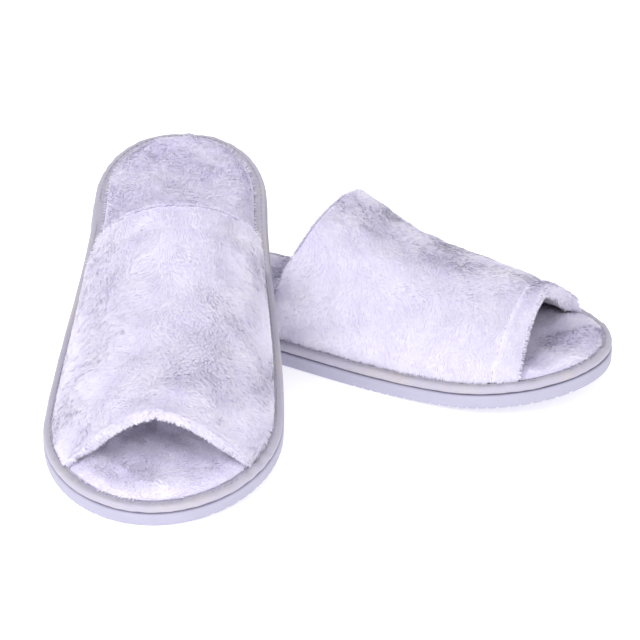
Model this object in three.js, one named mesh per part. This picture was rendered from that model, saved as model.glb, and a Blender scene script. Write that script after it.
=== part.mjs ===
// A pair of open-toe, open-back plush spa slippers.
// Millimetres, +Z up. The right slipper stands flat and the left one leans over its instep, heel raised.
// Each slipper is built in its own frame: origin under the middle of the sole, +Y to the toe, +Z up,
// with its lateral (little-toe) side at +X; the left one is the mirror image of the right one.
import * as THREE from "three";

// ---------- driving dimensions ----------
const SOLE_LENGTH = 280;
const HEEL_WIDTH = 87.4;
const HEEL_ROUND_LENGTH = 58.4; // how far the rounded heel end reaches forward
const HEEL_ROUND_POWER = 2.19; // 2 is an ellipse, more is squarer
const FOREFOOT_WIDTH = 107.6;
const TOE_ROUND_LENGTH = 61.2;
const TOE_ROUND_POWER = 1.94;
const WAIST_SWEEP = 2.1; // how far the waist of the sole stands out sideways between heel and toe
const TOE_SPRING = 8.7; // how high the tip of the sole curls up
const TOE_SPRING_LENGTH = 112;

const OUTSOLE_THICKNESS = 6.9;
const TREAD_PITCH = 4.5;
const TREAD_DEPTH = 0.9;
const TREAD_GROOVE_WIDTH = 1.8;
const TREAD_EDGE_MARGIN = 7; // plain sole in front of the first and behind the last groove
const FOREFOOT_TREAD_LENGTH = 100;
const HEEL_TREAD_LENGTH = 64;

const FIT_GAP = 0.3; // air between pieces that touch
const TAPE_THICKNESS = 0.8;
const TAPE_SETBACK = 0.7; // the tape's wall stands this far inside the outsole's edge
const TAPE_BULGE = 0.5; // how far the wall rounds in and out
const TAPE_FOLD_WIDTH = 3.8; // width of the tape's visible top fold
const TAPE_HEIGHT = 4.2;
const BOARD_THICKNESS = 1.2;
const INSOLE_FOAM_THICKNESS = 3.2;
const INSOLE_PLUSH_THICKNESS = 2.6;
const INSOLE_CROWN = 1.0;
const INSOLE_SIDE_HEIGHT = 1.56; // upright part of the cover's edge, below its rounded shoulder
const INSOLE_SHOULDER_SHARE = 0.9; // share of the half-width where the shoulder ends and the crown begins
const INSOLE_TAPER_LENGTH = 14; // length over which the insole narrows beside the upper
const SIDE_WALL_ROOM = 13; // room that the upper's foot takes beside the insole

const OUTER_PLUSH_THICKNESS = 2.6;
const UPPER_FOAM_THICKNESS = 2.0;
const LINING_THICKNESS = 2.4;
const SEAM_SQUEEZE = 0.5; // share of its thickness that the upper keeps where it is sewn down
const SEAM_SQUEEZE_HEIGHT = 14;
const CROWN_LENGTH = 105; // the upper's length over the instep
const LATERAL_LENGTH = 135; // and along the sole on each side
const MEDIAL_LENGTH = 119;
const TOE_OPENING_SETBACK = 29; // sole tip to the toe hem's ends
const TOE_CROWN_SETBACK = 33;
const REAR_CROWN_HEIGHT = 74;
const TOE_CROWN_HEIGHT = 44;
const INSTEP_SAG = 5;
const CROWN_SHIFT = 4; // the rear crown stands this far towards the lateral side
const REAR_ARCH_POWERS = [2.3, 2.3];
const TOE_ARCH_POWERS = [1.6, 1.15];
const HEM_WIDTH = 11;
const HEM_STITCH_DISTANCE = 8.25; // hem edge to its row of stitches
const THREAD_DIAMETER = 0.9;
const TAPE_STITCH_MARGIN = 1.35; // the tape's inner edge to its row of stitches

const LEAN_ANGLE = 14.5; // degrees that the left slipper's heel is raised
const SPLAY_ANGLE = 62.8; // degrees between the two slippers' toes
const REST_GAP = 0.361; // between the leaning sole's edge and the upper that it leans on
const REST_BAND = 0.5; // how far above and below the leaning sole's edge the flat slipper keeps clear of it
const FLAT_SET_BACK = 50.2; // the flat slipper's centre stands this far behind the leaning one's

// mesh fineness
const END_STEPS = 9;
const SIDE_STEPS = 9;
const ARCH_STEPS = 22;
const UPPER_STEPS = 8;
const FACE_SAMPLES = 6; // parts that a face's sides are split into where the two slippers come close
const TIP_ANGLE = 0.06; // radians left out at the sole's very tip, where a short straight edge closes it
const LEAST_HALF_WIDTH = 0.5; // a plate's ends are no narrower than this on each side
const LEAST_STATION_GAP = 0.2; // no section of the outsole lies closer than this to a groove
const EDGE_STEP = 0.004; // steps along the edge and over the upper that directions are measured with
const FACE_STEP = 0.002;
const THREAD_REACH = 0.999; // share of the arch that a hem's thread covers

// ---------- sizes that follow ----------
const HALF_LENGTH = SOLE_LENGTH / 2;
const HEEL_START = HEEL_ROUND_LENGTH - HALF_LENGTH;
const TOE_START = HALF_LENGTH - TOE_ROUND_LENGTH;
const TAPE_BOTTOM = OUTSOLE_THICKNESS + FIT_GAP;
const TAPE_TOP = TAPE_BOTTOM + TAPE_HEIGHT;
const TAPE_INNER_INSET = TAPE_FOLD_WIDTH + TAPE_SETBACK;
const BOARD_BOTTOM = TAPE_BOTTOM + TAPE_THICKNESS + FIT_GAP;
const BOARD_INSET = TAPE_THICKNESS + TAPE_SETBACK + FIT_GAP;
const FOAM_BOTTOM = BOARD_BOTTOM + BOARD_THICKNESS + FIT_GAP;
const COVER_BOTTOM = FOAM_BOTTOM + INSOLE_FOAM_THICKNESS + FIT_GAP;
const OPEN_INSET = TAPE_INNER_INSET + FIT_GAP;
const UPPER_INSET = TAPE_INNER_INSET;
const UPPER_FOOT = TAPE_TOP + FIT_GAP;
const UPPER_DEPTH = OUTER_PLUSH_THICKNESS + UPPER_FOAM_THICKNESS + LINING_THICKNESS + 2 * FIT_GAP;
const TOE_SIDE_Y = HALF_LENGTH - TOE_OPENING_SETBACK;
const TOE_CROWN_Y = HALF_LENGTH - TOE_CROWN_SETBACK;
const REAR_CROWN_Y = TOE_CROWN_Y - CROWN_LENGTH;

const lerp = THREE.MathUtils.lerp;
const smoothstep = THREE.MathUtils.smoothstep;
const degToRad = THREE.MathUtils.degToRad;

// ---------- closed surfaces from rings of points ----------

// Joins rings of points into one closed body. Each ring holds the same number of Vector3s. Without `flatten`
// the last ring is joined to the first; with it both are capped, and `flatten` gives a point's place in the
// caps' plane. `order` gives each ring point's place along a layer, so that the two faces of a gap between
// layers fold along the same diagonals.
function bodyFromRings(rings, flatten = null, order = rings[0].map(() => 0)) {
  const count = rings[0].length;
  const positions = rings.flat().flatMap((p) => [p.x, p.y, p.z]);
  const index = [];
  const spans = flatten ? rings.length - 1 : rings.length;
  for (let i = 0; i < spans; i++) {
    const a = i * count;
    const b = ((i + 1) % rings.length) * count;
    for (let j = 0; j < count; j++) {
      const k = (j + 1) % count;
      const forward = [a + j, b + j, b + k, a + j, b + k, a + k];
      const backward = [a + j, b + j, a + k, b + j, b + k, a + k];
      index.push(...(order[j] <= order[k] ? forward : backward));
    }
  }
  if (flatten) {
    const last = (rings.length - 1) * count;
    const firstCap = capTriangles(rings[0].map(flatten));
    const lastCap = capTriangles(rings.at(-1).map(flatten));
    index.push(...firstCap.flat(), ...lastCap.flatMap(([u, v, w]) => [last + w, last + v, last + u]));
  }
  const geometry = new THREE.BufferGeometry();
  geometry.setAttribute("position", new THREE.Float32BufferAttribute(positions, 3));
  geometry.setIndex(index);
  return geometry;
}

// Triangles that fill an outline, wound as the outline is.
function capTriangles(outline) {
  const triangles = THREE.ShapeUtils.triangulateShape(outline, []);
  return THREE.ShapeUtils.isClockWise(outline) ? triangles.map((t) => t.reverse()) : triangles;
}

const crossPlane = (p) => new THREE.Vector2(p.x, p.z);
const groundPlane = (p) => new THREE.Vector2(p.x, p.y);

// Signed volume, used to turn a body's faces outwards.
function signedVolume(geometry) {
  const p = geometry.getAttribute("position");
  const index = geometry.getIndex().array;
  const corners = [new THREE.Vector3(), new THREE.Vector3(), new THREE.Vector3()];
  let sum = 0;
  for (let i = 0; i < index.length; i += 3) {
    corners.forEach((corner, n) => corner.fromBufferAttribute(p, index[i + n]));
    sum += corners[0].dot(corners[1].clone().cross(corners[2])) / 6;
  }
  return sum;
}

// Shapes a body to the sole's sweep and toe spring, mirrors it for the left foot and turns its faces out.
function finishBody(geometry, side) {
  const p = geometry.getAttribute("position");
  for (let i = 0; i < p.count; i++) {
    const y = p.getY(i);
    p.setXYZ(i, side * (p.getX(i) + sweepAt(y)), y, p.getZ(i) + springAt(y));
  }
  if (signedVolume(geometry) < 0) geometry.getIndex().array.reverse();
  geometry.computeVertexNormals();
  return geometry;
}

// ---------- the sole's outline ----------

function sweepAt(y) {
  return WAIST_SWEEP * (1 - (y / HALF_LENGTH) ** 2);
}

function springAt(y) {
  const start = HALF_LENGTH - TOE_SPRING_LENGTH;
  return TOE_SPRING * (Math.max(0, y - start) / TOE_SPRING_LENGTH) ** 2;
}

// Share of the full width that is left at a distance `reach` into a rounded end.
function roundedEnd(reach, length, power) {
  const share = THREE.MathUtils.clamp(reach / length, 0, 1);
  return (1 - share ** power) ** (1 / power);
}

// Half the sole's width at a distance y in front of its middle.
function halfWidth(y) {
  const heel = roundedEnd(HEEL_START - y, HEEL_ROUND_LENGTH, HEEL_ROUND_POWER);
  const toe = roundedEnd(y - TOE_START, TOE_ROUND_LENGTH, TOE_ROUND_POWER);
  return (lerp(HEEL_WIDTH, FOREFOOT_WIDTH, smoothstep(y, HEEL_START, TOE_START)) / 2) * heel * toe;
}

// How far forward the sole's edge is, for u from 0 at the heel tip to 1 at the toe tip.
function edgeStation(u) {
  const quarter = Math.PI / 2 - TIP_ANGLE;
  const intoHeel = Math.sin(quarter * Math.max(0, 1 - 3 * u)) ** (2 / HEEL_ROUND_POWER);
  const intoToe = Math.sin(quarter * Math.max(0, 3 * u - 2)) ** (2 / TOE_ROUND_POWER);
  const between = lerp(HEEL_START, TOE_START, THREE.MathUtils.clamp(3 * u - 1, 0, 1));
  return between - HEEL_ROUND_LENGTH * intoHeel + TOE_ROUND_LENGTH * intoToe;
}

// One point of the right-hand edge for u from 0 at the heel tip to 1 at the toe tip, moved inwards.
function edgePoint(u, inset) {
  const on = (t) => new THREE.Vector2(halfWidth(edgeStation(t)), edgeStation(t));
  const tangent = on(Math.min(1, u + EDGE_STEP)).sub(on(Math.max(0, u - EDGE_STEP))).normalize();
  return on(u).add(new THREE.Vector2(-tangent.y, tangent.x).multiplyScalar(inset));
}

function edgeParameters() {
  const list = [];
  for (let i = 0; i < END_STEPS; i++) list.push(i / (3 * END_STEPS));
  for (let i = 0; i < SIDE_STEPS; i++) list.push((1 + i / SIDE_STEPS) / 3);
  for (let i = 0; i <= END_STEPS; i++) list.push((2 + i / END_STEPS) / 3);
  return list;
}

// A tape or thread that runs right round the sole; its section is a list of [inset, height].
function rimBody(section, side) {
  const around = edgeParameters();
  const rings = [
    ...around.map((u) => section.map(([inset, z]) => edgeAt(u, inset, z, 1))),
    ...around.reverse().map((u) => section.map(([inset, z]) => edgeAt(u, inset, z, -1))),
  ];
  return finishBody(bodyFromRings(rings), side);
}

function edgeAt(u, inset, z, sign) {
  const p = edgePoint(u, inset);
  return new THREE.Vector3(sign * p.x, p.y, z);
}

// A plate that fills the sole's outline; `insetAt(y)` is its distance from the edge, and `section(x)` its
// cross-section as a list of [x, height] for a half-width x.
function plateBody(insetAt, section, side) {
  const rings = edgeParameters().map((u) => {
    const p = edgePoint(u, insetAt(edgePoint(u, 0).y));
    return section(Math.max(p.x, LEAST_HALF_WIDTH)).map(([x, z]) => new THREE.Vector3(x, p.y, z));
  });
  return finishBody(bodyFromRings(rings, crossPlane), side);
}

// ---------- sole pieces ----------

// Lengthwise stations of the outsole with the height of its underside: flat lands and V-shaped grooves.
function treadStations() {
  const stations = edgeParameters().map((u) => ({ y: edgePoint(u, 0).y, z: 0 }));
  const zones = [
    [HALF_LENGTH - TREAD_EDGE_MARGIN - FOREFOOT_TREAD_LENGTH, FOREFOOT_TREAD_LENGTH],
    [TREAD_EDGE_MARGIN - HALF_LENGTH, HEEL_TREAD_LENGTH],
  ];
  const grooves = zones.flatMap(([start, length]) =>
    Array.from({ length: Math.floor(length / TREAD_PITCH) + 1 }, (_, n) => start + n * TREAD_PITCH),
  );
  const clear = TREAD_GROOVE_WIDTH / 2 + LEAST_STATION_GAP;
  const plain = stations.filter(({ y }) => grooves.every((g) => Math.abs(y - g) > clear));
  const cut = grooves.flatMap((g) => [
    { y: g - TREAD_GROOVE_WIDTH / 2, z: 0 },
    { y: g, z: TREAD_DEPTH },
    { y: g + TREAD_GROOVE_WIDTH / 2, z: 0 },
  ]);
  return [...plain, ...cut].sort((a, b) => a.y - b.y);
}

function outsole(side) {
  const section = (x, z) => [
    [-x, z],
    [x, z],
    [x, OUTSOLE_THICKNESS],
    [-x, OUTSOLE_THICKNESS],
  ];
  const rings = treadStations().map(({ y, z }) =>
    section(halfWidth(y), z).map(([x, height]) => new THREE.Vector3(x, y, height)),
  );
  return finishBody(bodyFromRings(rings, crossPlane), side);
}

const flatSection = (bottom, thickness) => (x) => [
  [-x, bottom],
  [x, bottom],
  [x, bottom + thickness],
  [-x, bottom + thickness],
];

function insoleBoard(side) {
  return plateBody(() => BOARD_INSET, flatSection(BOARD_BOTTOM, BOARD_THICKNESS), side);
}

// The soft insole reaches the tape at the open heel and toe, and leaves room for the upper's foot between.
function softInset(y) {
  const rearEnd = TOE_SIDE_Y - LATERAL_LENGTH - FIT_GAP - UPPER_DEPTH;
  const toeEnd = TOE_SIDE_Y + FIT_GAP;
  const behind = 1 - smoothstep(y, rearEnd - INSOLE_TAPER_LENGTH, rearEnd);
  const ahead = smoothstep(y, toeEnd, toeEnd + INSOLE_TAPER_LENGTH);
  return lerp(SIDE_WALL_ROOM, OPEN_INSET, Math.max(behind, ahead));
}

function insoleFoam(side) {
  return plateBody(softInset, flatSection(FOAM_BOTTOM, INSOLE_FOAM_THICKNESS), side);
}

function insoleCover(side) {
  const sideTop = COVER_BOTTOM + INSOLE_SIDE_HEIGHT;
  const top = COVER_BOTTOM + INSOLE_PLUSH_THICKNESS;
  const section = (x) => [
    [-x, COVER_BOTTOM],
    [x, COVER_BOTTOM],
    [x, sideTop],
    [INSOLE_SHOULDER_SHARE * x, top],
    [0, top + INSOLE_CROWN],
    [-INSOLE_SHOULDER_SHARE * x, top],
    [-x, sideTop],
  ];
  return plateBody(softInset, section, side);
}

// The tape folds round the board's edge: a flat leg below, a bulged wall outside and a fold on top.
function bindingTape(side) {
  const outer = TAPE_SETBACK;
  const inner = outer + TAPE_THICKNESS;
  const middle = TAPE_BOTTOM + TAPE_HEIGHT / 2;
  const section = [
    [TAPE_INNER_INSET, TAPE_BOTTOM],
    [outer + TAPE_BULGE, TAPE_BOTTOM],
    [outer - TAPE_BULGE, middle],
    [outer + TAPE_BULGE, TAPE_TOP - TAPE_BULGE / 2],
    [TAPE_INNER_INSET, TAPE_TOP],
    [TAPE_INNER_INSET, TAPE_TOP - TAPE_THICKNESS],
    [inner, TAPE_TOP - TAPE_THICKNESS],
    [inner, TAPE_BOTTOM + TAPE_THICKNESS],
    [TAPE_INNER_INSET, TAPE_BOTTOM + TAPE_THICKNESS],
  ];
  return rimBody(section, side);
}

function bindingStitch(side) {
  const r = THREAD_DIAMETER / 2;
  const inset = TAPE_INNER_INSET - TAPE_STITCH_MARGIN;
  const z = TAPE_TOP + FIT_GAP + r;
  const section = [
    [inset - r, z],
    [inset, z + r],
    [inset + r, z],
    [inset, z - r],
  ];
  return rimBody(section, side);
}

// ---------- the upper ----------

// The upper's outer face: v runs from the rear edge (0) to the toe hem (1), and s over the foot from the
// medial side (-1) by the crown (0) to the lateral side (1).
function upperFace(v, s) {
  const [rearRun, rearRise] = REAR_ARCH_POWERS;
  const [toeRun, toeRise] = TOE_ARCH_POWERS;
  const run = lerp(rearRun, toeRun, v);
  const rise = 1 / lerp(rearRise, toeRise, v);
  const h = Math.max(0, 1 - Math.abs(s) ** run) ** rise;
  const sideY = TOE_SIDE_Y - (1 - v) * (s > 0 ? LATERAL_LENGTH : MEDIAL_LENGTH);
  const y = lerp(sideY, lerp(REAR_CROWN_Y, TOE_CROWN_Y, v), h);
  const crown = lerp(REAR_CROWN_HEIGHT, TOE_CROWN_HEIGHT, v) - INSTEP_SAG * Math.sin(Math.PI * v);
  const x = (halfWidth(y) - UPPER_INSET) * s + CROWN_SHIFT * (1 - v) * h;
  return new THREE.Vector3(x, y, lerp(UPPER_FOOT, crown, h));
}

// The point at a depth below the outer face, square to it. Near the seam the layers are squeezed.
function upperPoint(v, s, depth) {
  const limit = 1 - FACE_STEP;
  const vc = THREE.MathUtils.clamp(v, FACE_STEP, limit);
  const sc = THREE.MathUtils.clamp(s, -limit, limit);
  const along = upperFace(vc + FACE_STEP, sc).sub(upperFace(vc - FACE_STEP, sc));
  const across = upperFace(vc, sc + FACE_STEP).sub(upperFace(vc, sc - FACE_STEP));
  const inward = along.cross(across).normalize();
  const p = upperFace(v, s);
  const squeeze = lerp(SEAM_SQUEEZE, 1, archShare(p.z));
  inward.z *= archShare(p.z);
  inward.normalize();
  return p.add(inward.multiplyScalar(depth * squeeze));
}

// How far a point has risen from the seam, from 0 to 1. At the seam the layers stand side by side.
function archShare(z) {
  return smoothstep(z, UPPER_FOOT, UPPER_FOOT + SEAM_SQUEEZE_HEIGHT);
}

// A layer of the upper: its profile is a list of [v, depth] that is carried over the foot.
function upperBody(profile, side, reach = 1) {
  const rings = [];
  for (let i = 0; i <= ARCH_STEPS; i++) {
    const s = reach * Math.sin((Math.PI / 2) * lerp(-1, 1, i / ARCH_STEPS));
    rings.push(profile.map(([v, depth]) => upperPoint(v, s, depth)));
  }
  const order = profile.map(([v]) => v);
  return finishBody(bodyFromRings(rings, groundPlane, order), side);
}

// A strip of the upper between two depths. Every layer breaks at the same v, so that the layers nest.
function strip(from, to, top, bottom) {
  const even = Array.from({ length: UPPER_STEPS - 1 }, (_, i) => (i + 1) / UPPER_STEPS);
  const shared = [HEM_SHARE / 2, ...even, 1 - HEM_SHARE / 2];
  const run = [from, ...shared.filter((v) => v > from + GAP_SHARE && v < to - GAP_SHARE), to];
  return { face: run.map((v) => [v, top]), back: run.reverse().map((v) => [v, bottom]) };
}

const stripProfile = (...sizes) => {
  const { face, back } = strip(...sizes);
  return [...face, ...back];
};

const FOAM_TOP = OUTER_PLUSH_THICKNESS + FIT_GAP;
const LINING_TOP = FOAM_TOP + UPPER_FOAM_THICKNESS + FIT_GAP;
const HEM_SHARE = HEM_WIDTH / CROWN_LENGTH;
const EDGE_SHARE = OUTER_PLUSH_THICKNESS / CROWN_LENGTH;
const GAP_SHARE = FIT_GAP / CROWN_LENGTH;

// The outer plush, turned in at both ends as a hem that covers the foam's and the lining's ends.
function upperOuter(side) {
  const round = EDGE_SHARE / 3;
  const edge = OUTER_PLUSH_THICKNESS / 2;
  const outside = strip(round, 1 - round, 0, OUTER_PLUSH_THICKNESS).face;
  const inside = strip(EDGE_SHARE, 1 - EDGE_SHARE, 0, OUTER_PLUSH_THICKNESS).back;
  const toeHem = [
    [1, edge],
    [1, UPPER_DEPTH - edge],
    [1 - round, UPPER_DEPTH],
    [1 - HEM_SHARE, UPPER_DEPTH],
    [1 - HEM_SHARE, LINING_TOP],
    [1 - EDGE_SHARE, LINING_TOP],
  ];
  const rearHem = toeHem.map(([v, depth]) => [1 - v, depth]).reverse();
  return upperBody([...outside, ...toeHem, ...inside, ...rearHem], side);
}

function upperFoam(side) {
  const end = EDGE_SHARE + GAP_SHARE;
  return upperBody(stripProfile(end, 1 - end, FOAM_TOP, FOAM_TOP + UPPER_FOAM_THICKNESS), side);
}

function upperLining(side) {
  const end = HEM_SHARE + GAP_SHARE;
  return upperBody(stripProfile(end, 1 - end, LINING_TOP, UPPER_DEPTH), side);
}

function hemStitch(side, place) {
  const r = THREAD_DIAMETER / 2;
  const share = r / CROWN_LENGTH;
  const depth = -FIT_GAP - r;
  const profile = [
    [place - share, depth],
    [place, depth - r],
    [place + share, depth],
    [place, depth + r],
  ];
  return upperBody(profile, side, THREAD_REACH);
}

// ---------- one slipper ----------

const finish = (color, roughness) => new THREE.MeshStandardMaterial({ color, roughness, metalness: 0 });
const MATERIALS = {
  eva: finish(0xd9d7ed, 0.55),
  board: finish(0xb9a888, 0.9),
  foam: finish(0xf0ead2, 0.95),
  plush: finish(0xe1ddf8, 0.95),
  tape: finish(0xc8c3d6, 0.85),
  thread: finish(0xb4b0c2, 0.7),
};

function slipper(name, side) {
  const group = new THREE.Group();
  const stitchPlace = HEM_STITCH_DISTANCE / CROWN_LENGTH;
  const pieces = {
    outsole: [outsole(side), MATERIALS.eva],
    insole_board: [insoleBoard(side), MATERIALS.board],
    insole_foam: [insoleFoam(side), MATERIALS.foam],
    insole_cover: [insoleCover(side), MATERIALS.plush],
    binding_tape: [bindingTape(side), MATERIALS.tape],
    binding_stitch: [bindingStitch(side), MATERIALS.thread],
    upper_outer: [upperOuter(side), MATERIALS.plush],
    upper_foam: [upperFoam(side), MATERIALS.foam],
    upper_lining: [upperLining(side), MATERIALS.plush],
    rear_hem_stitch: [hemStitch(side, stitchPlace), MATERIALS.thread],
    toe_hem_stitch: [hemStitch(side, 1 - stitchPlace), MATERIALS.thread],
  };
  for (const [piece, [geometry, material]] of Object.entries(pieces)) {
    const mesh = new THREE.Mesh(geometry, material);
    mesh.name = name + "_" + piece;
    group.add(mesh);
  }
  return group;
}

// ---------- the pair ----------

// How far the flat slipper moves along +X so that nothing of it reaches into the leaning sole's edge.
// Its faces are gone over as well as their corners, because the closest place may lie between corners.
function shiftToClear(flat, leaning) {
  flat.updateMatrixWorld(true);
  leaning.updateMatrixWorld(true);
  const intoLeaning = leaning.matrixWorld.clone().invert();
  const corners = [new THREE.Vector3(), new THREE.Vector3(), new THREE.Vector3()];
  const world = new THREE.Vector3();
  const local = new THREE.Vector3();
  let shift = -Infinity;
  for (const mesh of flat.children) {
    const p = mesh.geometry.getAttribute("position");
    const index = mesh.geometry.index;
    const count = index ? index.count : p.count;
    for (let i = 0; i < count; i += 3) {
      corners.forEach((corner, k) => {
        corner.fromBufferAttribute(p, index ? index.getX(i + k) : i + k).applyMatrix4(flat.matrixWorld);
      });
      for (let a = 0; a <= FACE_SAMPLES; a++) {
        for (let b = 0; b <= FACE_SAMPLES - a; b++) {
          world.copy(corners[0]);
          world.addScaledVector(corners[1], a / FACE_SAMPLES).addScaledVector(corners[0], -a / FACE_SAMPLES);
          world.addScaledVector(corners[2], b / FACE_SAMPLES).addScaledVector(corners[0], -b / FACE_SAMPLES);
          local.copy(world).applyMatrix4(intoLeaning);
          const level = local.z > -REST_BAND && local.z < TAPE_TOP + REST_BAND;
          if (!level || Math.abs(local.y) >= HALF_LENGTH) continue;
          const edge = leaning.position.x + halfWidth(local.y) + sweepAt(local.y);
          shift = Math.max(shift, edge + REST_GAP - world.x);
        }
      }
    }
  }
  return shift;
}

const left = slipper("left", -1);
left.rotation.set(-degToRad(LEAN_ANGLE), 0, Math.PI, "ZXY");
left.updateMatrixWorld(true);
left.position.z = -new THREE.Box3().setFromObject(left, true).min.z;

const right = slipper("right", 1);
right.rotation.set(0, 0, Math.PI + degToRad(SPLAY_ANGLE), "ZXY");
right.position.y = FLAT_SET_BACK;
right.position.x = shiftToClear(right, left);

// The pair's frame: the middle of its footprint, on the ground.
const pair = new THREE.Group();
pair.add(left, right);
pair.updateMatrixWorld(true);
const box = new THREE.Box3().setFromObject(pair, true);
pair.position.set(-(box.min.x + box.max.x) / 2, -(box.min.y + box.max.y) / 2, -box.min.z);

const spaSlippers = new THREE.Group();
spaSlippers.add(pair);
export default spaSlippers;
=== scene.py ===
import math

import bmesh
import bpy
import numpy as np
from bpy.props import FloatProperty, FloatVectorProperty, IntProperty, PointerProperty
from mathutils import Matrix, Vector
from mathutils.kdtree import KDTree


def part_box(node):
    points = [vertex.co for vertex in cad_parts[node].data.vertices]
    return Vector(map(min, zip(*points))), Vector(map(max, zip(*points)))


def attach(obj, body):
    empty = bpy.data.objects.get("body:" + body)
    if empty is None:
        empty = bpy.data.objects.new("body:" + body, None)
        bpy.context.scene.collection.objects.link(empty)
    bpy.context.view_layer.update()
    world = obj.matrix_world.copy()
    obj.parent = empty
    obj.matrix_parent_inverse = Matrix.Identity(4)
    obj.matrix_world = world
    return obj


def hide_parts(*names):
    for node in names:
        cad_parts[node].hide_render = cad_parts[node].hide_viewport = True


bl_info = {
    "name": "Plush spa slippers",
    "version": (1, 0, 0),
    "blender": (4, 5, 0),
    "location": "3D View > Sidebar > Slippers",
    "description": "Sews a pair of open-toe plush slippers round their solid model",
    "category": "Object",
}

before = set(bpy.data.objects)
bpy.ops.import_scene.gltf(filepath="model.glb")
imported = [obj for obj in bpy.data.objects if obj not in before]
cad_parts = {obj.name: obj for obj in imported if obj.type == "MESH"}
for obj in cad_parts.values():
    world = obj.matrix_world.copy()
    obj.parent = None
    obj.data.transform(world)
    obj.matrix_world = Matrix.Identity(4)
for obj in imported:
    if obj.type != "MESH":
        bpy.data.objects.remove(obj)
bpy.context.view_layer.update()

MM = 0.001

# ---------- the slipper's own sizes, in millimetres, as the solid model has them ----------
# Each slipper's own frame: origin under the middle of the sole, +Y to the toe, +Z up, +X to the little toe.

SOLE_LENGTH = 280.0
HEEL_WIDTH = 87.4
HEEL_ROUND_LENGTH = 58.4
HEEL_ROUND_POWER = 2.19
FOREFOOT_WIDTH = 107.6
TOE_ROUND_LENGTH = 61.2
TOE_ROUND_POWER = 1.94
WAIST_SWEEP = 2.1
TOE_SPRING = 8.7
TOE_SPRING_LENGTH = 112.0
OUTSOLE_THICKNESS = 6.9
TREAD_PITCH = 4.5
TREAD_DEPTH = 0.9
TREAD_GROOVE_WIDTH = 1.8
TREAD_EDGE_MARGIN = 7.0
FOREFOOT_TREAD_LENGTH = 100.0
HEEL_TREAD_LENGTH = 64.0
FIT_GAP = 0.3
TAPE_SETBACK = 0.7
TAPE_FOLD_WIDTH = 3.8
TAPE_HEIGHT = 4.2
TAPE_THICKNESS = 0.8
SPONGE_BOTTOM = 9.8
SPONGE_TOP = 13.0
INSOLE_BOTTOM = 13.3
INSOLE_PLUSH_THICKNESS = 2.6
INSOLE_CROWN = 1.0
OUTER_PLUSH_THICKNESS = 2.6
UPPER_FOAM_THICKNESS = 2.0
LINING_THICKNESS = 2.4
SEAM_SQUEEZE = 0.5
SEAM_SQUEEZE_HEIGHT = 14.0
CROWN_LENGTH = 105.0
LATERAL_LENGTH = 135.0
MEDIAL_LENGTH = 119.0
TOE_OPENING_SETBACK = 29.0
TOE_CROWN_SETBACK = 33.0
REAR_CROWN_HEIGHT = 74.0
TOE_CROWN_HEIGHT = 44.0
INSTEP_SAG = 5.0
CROWN_SHIFT = 4.0
REAR_ARCH_POWERS = (2.3, 2.3)
TOE_ARCH_POWERS = (1.6, 1.15)
HEM_WIDTH = 11.0
HEM_STITCH_DISTANCE = 8.25
TAPE_STITCH_MARGIN = 1.35
LEAN_ANGLE = 14.5
SPLAY_ANGLE = 62.8

HALF_LENGTH = SOLE_LENGTH / 2
HEEL_START = HEEL_ROUND_LENGTH - HALF_LENGTH
TOE_START = HALF_LENGTH - TOE_ROUND_LENGTH
TAPE_BOTTOM = OUTSOLE_THICKNESS + FIT_GAP
TAPE_TOP = TAPE_BOTTOM + TAPE_HEIGHT
TAPE_INNER_INSET = TAPE_FOLD_WIDTH + TAPE_SETBACK
UPPER_FOOT = TAPE_TOP + FIT_GAP
FOAM_TOP = OUTER_PLUSH_THICKNESS + FIT_GAP
LINING_TOP = FOAM_TOP + UPPER_FOAM_THICKNESS + FIT_GAP
UPPER_DEPTH = LINING_TOP + LINING_THICKNESS
TOE_SIDE_Y = HALF_LENGTH - TOE_OPENING_SETBACK
TOE_CROWN_Y = HALF_LENGTH - TOE_CROWN_SETBACK
REAR_CROWN_Y = TOE_CROWN_Y - CROWN_LENGTH
HEM_SHARE = HEM_WIDTH / CROWN_LENGTH
EDGE_SHARE = OUTER_PLUSH_THICKNESS / CROWN_LENGTH
GAP_SHARE = FIT_GAP / CROWN_LENGTH


def linear(code):
    """A '#RRGGBB' colour in sRGB as the linear RGBA that the shaders take."""
    channels = [int(code[i : i + 2], 16) / 255 for i in (1, 3, 5)]
    return tuple(c / 12.92 if c <= 0.04045 else ((c + 0.055) / 1.055) ** 2.4 for c in channels) + (1.0,)


def lerp(a, b, t):
    return a + (b - a) * t


def smoothstep(x, low, high):
    t = np.clip((x - low) / (high - low), 0, 1)
    return t * t * (3 - 2 * t)


def unit(vectors):
    return vectors / np.maximum(np.linalg.norm(vectors, axis=-1, keepdims=True), 1e-12)


def ripple(points, wavelength, seed, waves=14):
    """Smooth noise of about -1 to 1 at the points, the same for the same seed."""
    rng = np.random.default_rng(seed)
    directions = unit(rng.normal(size=(waves, points.shape[-1])))
    lengths = wavelength * rng.uniform(0.7, 1.4, waves)
    phases = rng.uniform(0, 2 * math.pi, waves)
    total = np.zeros(points.shape[:-1])
    for direction, length, phase in zip(directions, lengths, phases):
        total += np.sin(2 * math.pi * (points @ direction) / length + phase)
    return total / math.sqrt(waves)


# ---------- what a user would change ----------


def millimetres(name, description, default, low=0.0, high=50.0):
    return FloatProperty(name=name, description=description, default=default * MM, min=low * MM,
                         max=high * MM, precision=4, subtype="DISTANCE", unit="LENGTH")


def number(name, description, default):
    return IntProperty(name=name, description=description, default=default, min=100)


def colour(name, description, code):
    return FloatVectorProperty(name=name, description=description, default=linear(code), size=4,
                               min=0, max=1, subtype="COLOR")


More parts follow.
